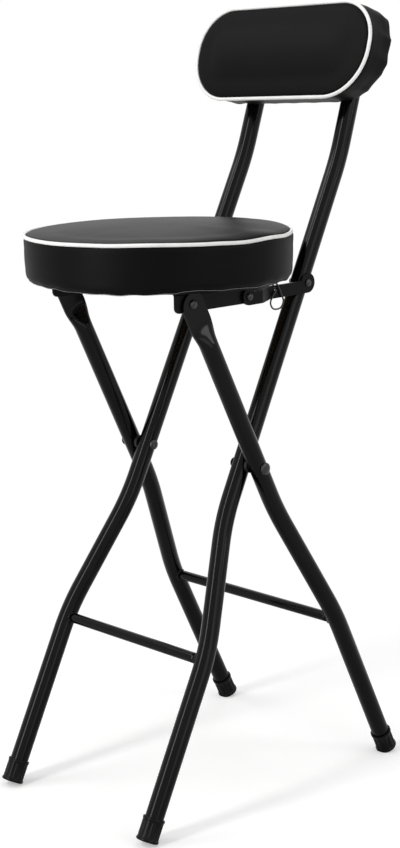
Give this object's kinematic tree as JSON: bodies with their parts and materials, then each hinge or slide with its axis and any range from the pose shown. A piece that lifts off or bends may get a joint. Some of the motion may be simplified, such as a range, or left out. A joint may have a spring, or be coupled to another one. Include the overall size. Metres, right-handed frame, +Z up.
{
  "type": "folding bar stool",
  "caption": "Folding bar stool with crossed bent-tube frames, round padded seat, padded backrest, folding side links with a pull ring, and rubber feet.",
  "frame": {"origin": "on the floor, under the middle of the stool's bounding box", "axes": "+Z up, a sitter faces -Y, +X on the right of someone who looks along +Y, the side with the pull ring"},
  "size_m": [0.319, 0.4492, 0.9456],
  "materials": {
    "coated_tube": "black semi-gloss powder coat",
    "coated_plate": "black semi-gloss powder coat",
    "rivet_steel": "black finished steel",
    "foot_rubber": "matt black rubber",
    "black_plastic": "matt black moulded plastic",
    "plywood": "plain plywood",
    "vinyl_cover": "black leatherette over foam",
    "white_piping": "white leatherette piping",
    "zinc_screw": "zinc-plated"
  },
  "bodies": {
    "back_frame": {"upright_tube_right": "coated_tube", "upright_tube_left": "coated_tube", "front_footrest_bar": "coated_tube", "front_foot_right": "foot_rubber", "front_foot_left": "foot_rubber", "upright_plug_right": "black_plastic", "upright_plug_left": "black_plastic", "cross_rivet_right": "rivet_steel", "cross_rivet_left": "rivet_steel", "cross_spacer_right": "black_plastic", "cross_spacer_left": "black_plastic", "link_rear_stub_right": "rivet_steel", "link_rear_stub_left": "rivet_steel", "backrest_board": "plywood", "backrest_cushion": "vinyl_cover", "backrest_piping": "white_piping", "backrest_screw_right_1": "zinc_screw", "backrest_screw_right_2": "zinc_screw", "backrest_screw_left_1": "zinc_screw", "backrest_screw_left_2": "zinc_screw"},
    "front_frame": {"front_leg_tube_right": "coated_tube", "front_leg_tube_left": "coated_tube", "rear_cross_bar": "coated_tube", "rear_foot_right": "foot_rubber", "rear_foot_left": "foot_rubber", "leg_top_rivet_right": "rivet_steel", "leg_top_rivet_left": "rivet_steel"},
    "seat": {"seat_rail_right": "coated_plate", "seat_rail_left": "coated_plate", "seat_board": "plywood", "seat_cushion": "vinyl_cover", "seat_piping": "white_piping", "seat_screw_1": "zinc_screw", "seat_screw_2": "zinc_screw", "seat_screw_3": "zinc_screw", "seat_screw_4": "zinc_screw", "link_front_rivet_right": "rivet_steel", "link_front_rivet_left": "rivet_steel"},
    "right_link": {"link_right": "coated_plate", "link_rear_rivet_right": "rivet_steel"},
    "left_link": {"link_left": "coated_plate", "link_rear_rivet_left": "rivet_steel"},
    "ring": {"pull_ring": "rivet_steel"}
  },
  "joints": [
    {"name": "fold", "type": "hinge", "parent": "back_frame", "child": "front_frame", "pos_m": [0, -0.01071, 0.4063], "axis": [-1, 0, 0], "range_deg": [0, 33]},
    {"name": "seat_tilt", "type": "hinge", "parent": "front_frame", "child": "seat", "pos_m": [0, -0.11424, 0.61169], "axis": [1, 0, 0], "range_deg": [0, 103.38]},
    {"name": "right_link_turn", "type": "hinge", "parent": "seat", "child": "right_link", "pos_m": [0.1074, -0.02321, 0.6105], "axis": [-1, 0, 0], "range_deg": [0, 137.78]},
    {"name": "left_link_turn", "type": "hinge", "parent": "seat", "child": "left_link", "pos_m": [-0.1074, -0.02321, 0.6105], "axis": [-1, 0, 0], "range_deg": [0, 137.78]},
    {"name": "ring_swing", "type": "hinge", "parent": "right_link", "child": "ring", "pos_m": [0.09311, 0.03659, 0.61475], "axis": [0, -1, 0], "range_deg": [0, 95]}
  ],
  "couplings": [
    {"joint": "seat_tilt", "follows": "fold", "ratio": 3.1324},
    {"joint": "right_link_turn", "follows": "fold", "ratio": 4.1746},
    {"joint": "left_link_turn", "follows": "fold", "ratio": 4.1746}
  ]
}
